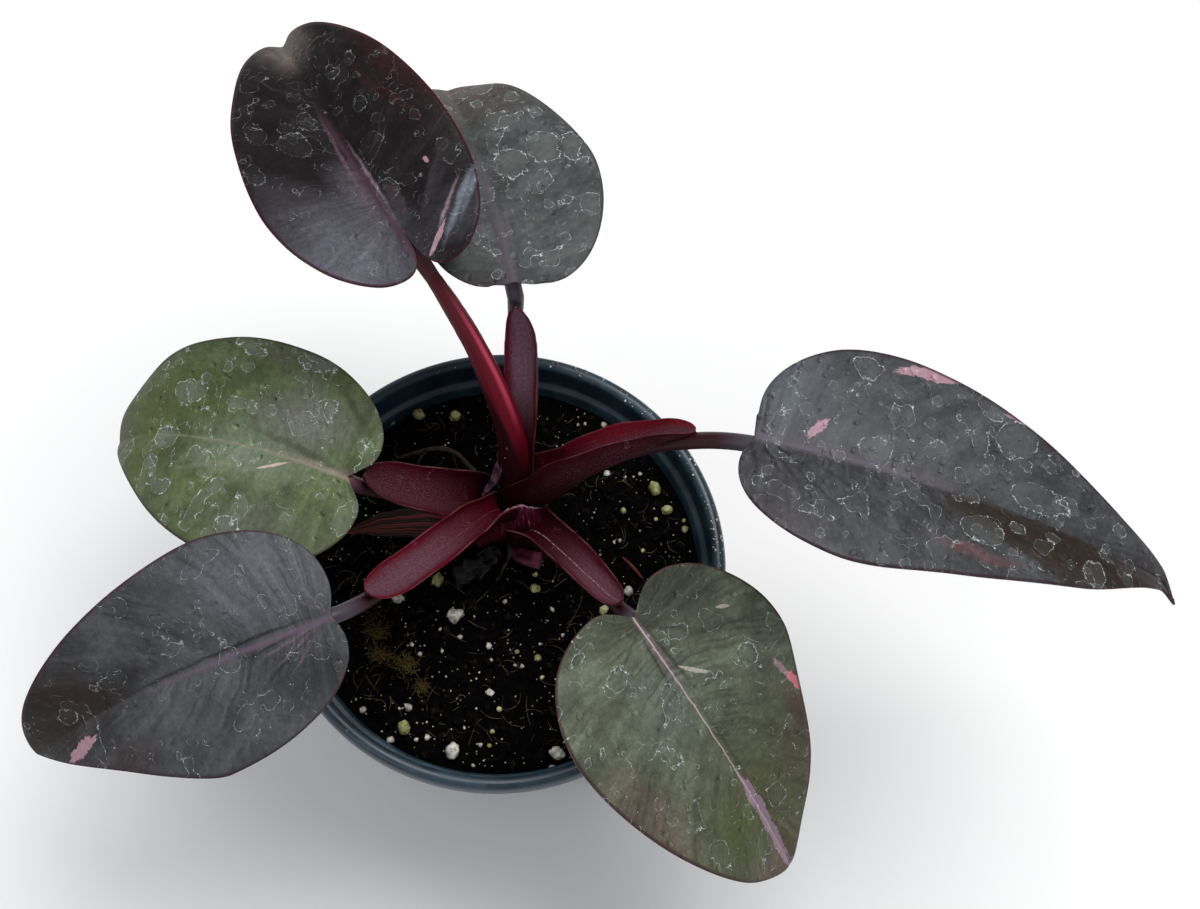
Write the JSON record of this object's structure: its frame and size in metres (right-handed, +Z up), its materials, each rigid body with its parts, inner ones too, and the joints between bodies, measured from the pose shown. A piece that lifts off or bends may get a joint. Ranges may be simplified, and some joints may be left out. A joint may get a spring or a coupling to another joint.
{
  "type": "potted burgundy princess philodendron",
  "caption": "Small potted philodendron with dark burgundy and olive heart-shaped leaves on winged stalks, in a round nursery pot of dark plastic filled with peat.",
  "frame": {"origin": "centre of the pot's flat underside", "axes": "+Z up out of the pot, +X towards the longest leaf at the right, -Y towards the viewer of the picture"},
  "size_m": [0.2519, 0.1775, 0.1781],
  "materials": {
    "pot_plastic": "satin",
    "peat": "matte",
    "stem": "matte",
    "petiole": "satin",
    "leaf_bronze": "satin",
    "leaf_slate": "satin",
    "leaf_olive": "satin",
    "old_sheath": "matte",
    "withered": "matte",
    "root": "matte",
    "perlite": "matte",
    "prill": "matte",
    "twig": "matte",
    "moss": "matte"
  },
  "bodies": {
    "root": {"pot": "pot_plastic", "soil": "peat", "stem": "stem", "petiole_back_left": "petiole", "blade_back_left": "leaf_bronze", "petiole_back": "petiole", "blade_back": "leaf_slate", "petiole_right": "petiole", "blade_right": "leaf_slate", "petiole_front_left": "petiole", "blade_front_left": "leaf_slate", "petiole_front_right": "petiole", "blade_front_right": "leaf_olive", "petiole_left": "petiole", "blade_left": "leaf_olive", "cataphyll": "old_sheath", "petiole_stub": "petiole", "sheath_scrap": "withered", "root_left": "root", "root_front": "root", "perlite_1": "perlite", "perlite_2": "perlite", "perlite_3": "perlite", "perlite_4": "perlite", "perlite_5": "perlite", "perlite_6": "perlite", "perlite_7": "perlite", "prill_1": "prill", "prill_2": "prill", "prill_3": "prill", "prill_4": "prill", "prill_5": "prill", "prill_6": "prill", "prill_7": "prill", "twig": "twig", "moss_tuft": "moss"}
  },
  "joints": []
}
